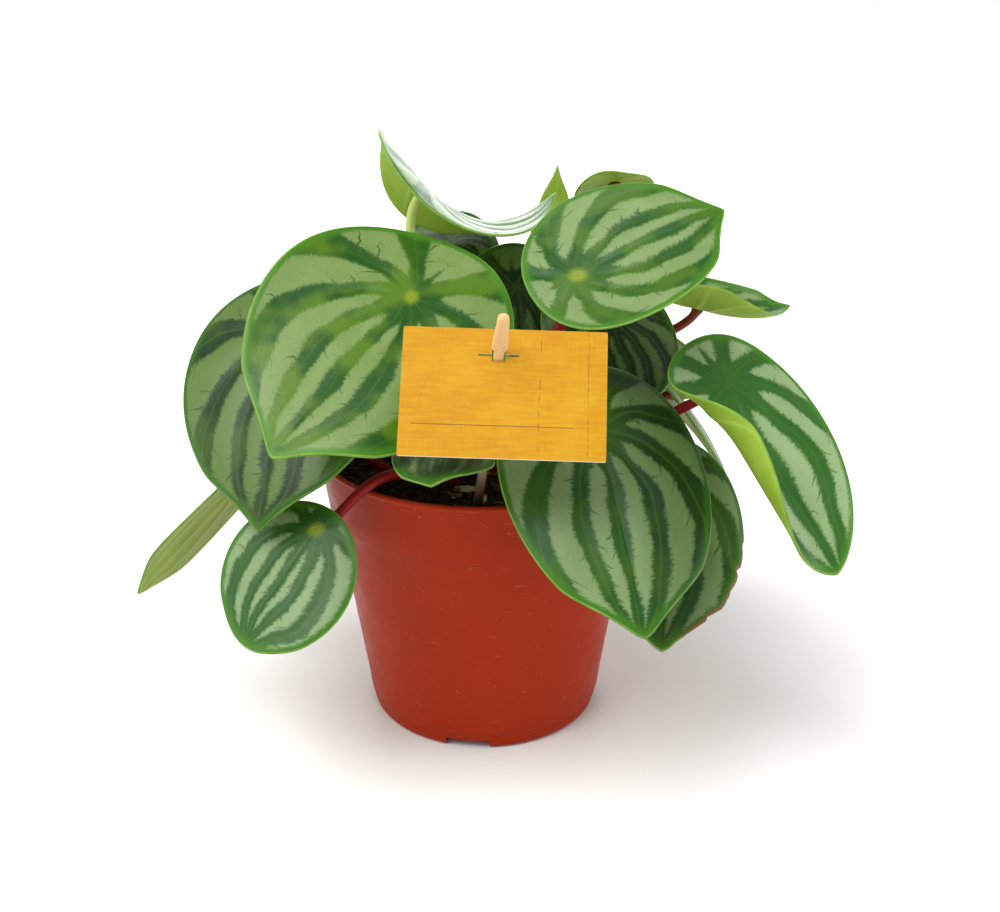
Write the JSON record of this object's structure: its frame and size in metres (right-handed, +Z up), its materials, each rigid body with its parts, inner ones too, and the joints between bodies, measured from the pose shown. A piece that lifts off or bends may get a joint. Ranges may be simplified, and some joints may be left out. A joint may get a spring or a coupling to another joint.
{
  "type": "potted peperomia",
  "caption": "Watermelon peperomia with striped peltate leaves on red stalks, growing in a terracotta-coloured plastic nursery pot with soil and a plain plant card on a wooden peg.",
  "frame": {"origin": "on the table, under the middle of the whole plant's box; the pot's axis stands 2.1 mm to its right and 2.8 mm behind it", "axes": "+Z up along the pot's axis, -Y towards the side with the plant card, +X to the right as seen from that side"},
  "size_m": [0.243, 0.209, 0.2156],
  "materials": {
    "pot_plastic": "satin moulded plastic",
    "soil": "matt peat with crumbs",
    "leaf": "satin, slightly fleshy leaf",
    "red_stalk": "satin plant stalk",
    "green_stalk": "satin plant stalk",
    "card": "printed coated card",
    "wood": "bare sanded wood"
  },
  "bodies": {
    "root": {"pot": "pot_plastic", "potting_soil": "soil", "stalk_front_left_large": "red_stalk", "stalk_left_large": "red_stalk", "stalk_left_low_small": "red_stalk", "stalk_far_left_edge_on": "red_stalk", "stalk_top_hooded": "green_stalk", "stalk_top_young_folded": "green_stalk", "stalk_right_upper": "red_stalk", "stalk_right_top_small": "red_stalk", "stalk_right_trough": "red_stalk", "stalk_right_shaded": "red_stalk", "stalk_right_large_folded": "red_stalk", "stalk_front_centre": "red_stalk", "stalk_front_right_low": "red_stalk", "stalk_under_card_small": "red_stalk", "stalk_centre_inner": "red_stalk", "stalk_top_inner_dark": "red_stalk", "stalk_back_left_upper": "red_stalk", "stalk_back_centre_upper": "red_stalk", "stalk_back_right_upper": "red_stalk", "stalk_back_far_left": "red_stalk", "stalk_back_right_low": "red_stalk", "stalk_back_left_low": "red_stalk", "stalk_back_far_right": "red_stalk", "leaf_front_left_large": "leaf", "leaf_left_large": "leaf", "leaf_left_low_small": "leaf", "leaf_far_left_edge_on": "leaf", "leaf_top_hooded": "leaf", "leaf_top_young_folded": "leaf", "leaf_right_upper": "leaf", "leaf_right_top_small": "leaf", "leaf_right_trough": "leaf", "leaf_right_shaded": "leaf", "leaf_right_large_folded": "leaf", "leaf_front_centre": "leaf", "leaf_front_right_low": "leaf", "leaf_under_card_small": "leaf", "leaf_centre_inner": "leaf", "leaf_top_inner_dark": "leaf", "leaf_back_left_upper": "leaf", "leaf_back_centre_upper": "leaf", "leaf_back_right_upper": "leaf", "leaf_back_far_left": "leaf", "leaf_back_right_low": "leaf", "leaf_back_left_low": "leaf", "leaf_back_far_right": "leaf", "plant_card": "card", "card_peg": "wood"}
  },
  "joints": []
}
